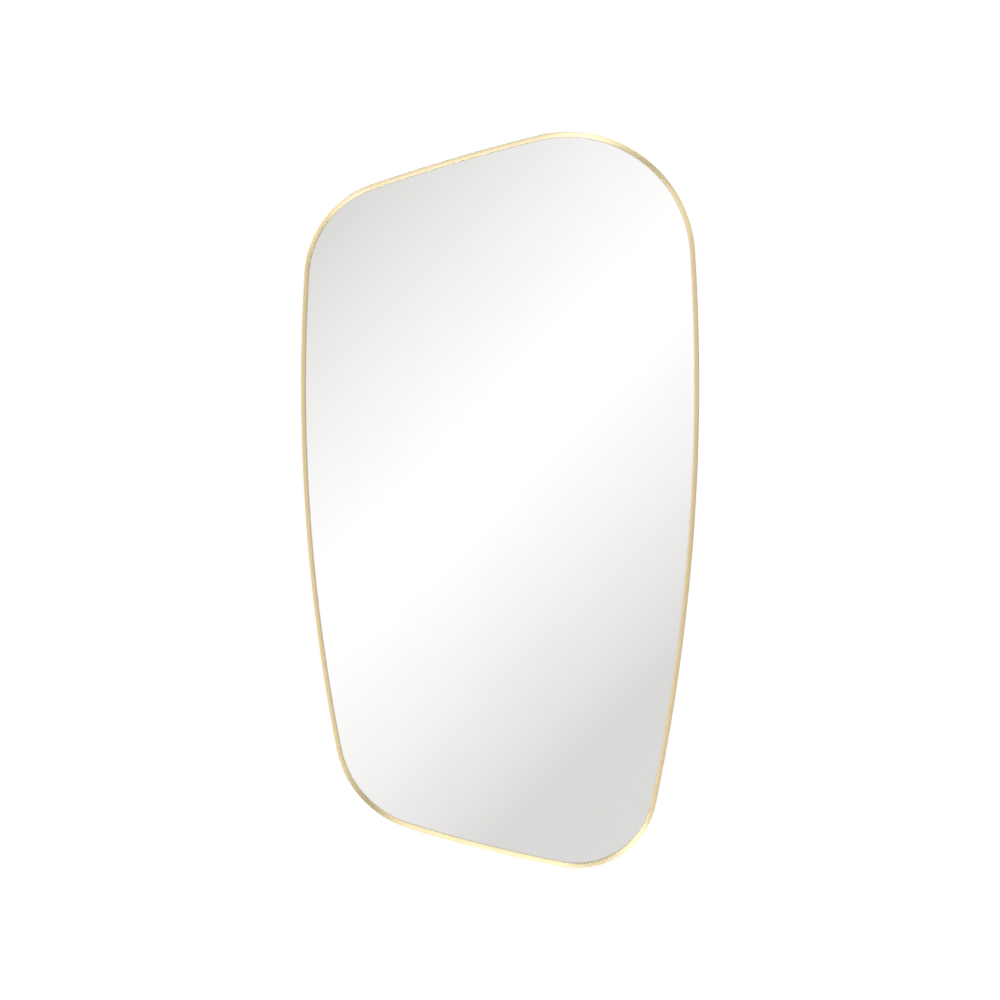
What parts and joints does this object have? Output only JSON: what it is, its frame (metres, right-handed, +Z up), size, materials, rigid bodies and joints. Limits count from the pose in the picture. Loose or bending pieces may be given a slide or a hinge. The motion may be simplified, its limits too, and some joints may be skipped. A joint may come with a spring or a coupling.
{
  "type": "irregular shaped wall mirror",
  "caption": "Tall wall mirror of irregular rounded outline in a slim gold metal frame, hung by swinging D rings on its backing board.",
  "frame": {"origin": "on the wall plane, straight behind the middle of the outline's box, between the hangers' wall hooks and the bumpers' plane", "axes": "+X right and +Z up as seen by someone in front of the mirror, +Y into the wall; the mirror faces -Y"},
  "size_m": [0.541, 0.0336, 1.0001],
  "materials": {
    "frame": "brushed along the hoop and gold anodised",
    "mirror": "silvered float glass",
    "tape": "closed cell foam",
    "block": "matt rubber",
    "film": "woven safety film",
    "foam": "double sided foam tape",
    "board": "black faced medium density fibreboard",
    "splice": "mill finish",
    "grub_screw": "black oxide",
    "clip": "zinc plated, stamped",
    "screw": "zinc plated",
    "strap": "zinc plated, folded",
    "ring": "zinc plated wire",
    "bumper": "matt rubber"
  },
  "bodies": {
    "root": {"frame_hoop": "frame", "glazing_tape": "tape", "mirror_glass": "mirror", "safety_film": "film", "bonding_foam_left": "foam", "bonding_foam_centre": "foam", "bonding_foam_right": "foam", "setting_block_left": "block", "setting_block_right": "block", "splice_plate": "splice", "splice_grub_screw_1": "grub_screw", "splice_grub_screw_2": "grub_screw", "splice_grub_screw_3": "grub_screw", "splice_grub_screw_4": "grub_screw", "hold_down_clip_right_lower": "clip", "hold_down_clip_right_upper": "clip", "hold_down_clip_top_right": "clip", "hold_down_clip_top_left": "clip", "hold_down_clip_left_upper": "clip", "hold_down_clip_left_lower": "clip", "hold_down_clip_bottom_left": "clip", "hold_down_clip_bottom_right": "clip", "clip_screw_right_lower": "screw", "clip_screw_right_upper": "screw", "clip_screw_top_right": "screw", "clip_screw_top_left": "screw", "clip_screw_left_upper": "screw", "clip_screw_left_lower": "screw", "clip_screw_bottom_left": "screw", "clip_screw_bottom_right": "screw", "hanger_strap_left": "strap", "hanger_screw_left_upper": "screw", "hanger_screw_left_lower": "screw", "hanger_strap_right": "strap", "hanger_screw_right_upper": "screw", "hanger_screw_right_lower": "screw", "backing_board": "board", "wall_bumper_bottom_right": "bumper", "wall_bumper_top_right": "bumper", "wall_bumper_top_left": "bumper", "wall_bumper_bottom_left": "bumper"},
    "ring_left": {"hanger_ring_left": "ring"},
    "ring_right": {"hanger_ring_right": "ring"}
  },
  "joints": [
    {"name": "hanger_ring_left_swing", "type": "hinge", "parent": "root", "child": "ring_left", "pos_m": [-0.11399, -0.01045, 0.215], "axis": [-1, 0, 0], "range_deg": [0, 180]},
    {"name": "hanger_ring_right_swing", "type": "hinge", "parent": "root", "child": "ring_right", "pos_m": [0.12601, -0.01045, 0.215], "axis": [-1, 0, 0], "range_deg": [0, 180]}
  ]
}
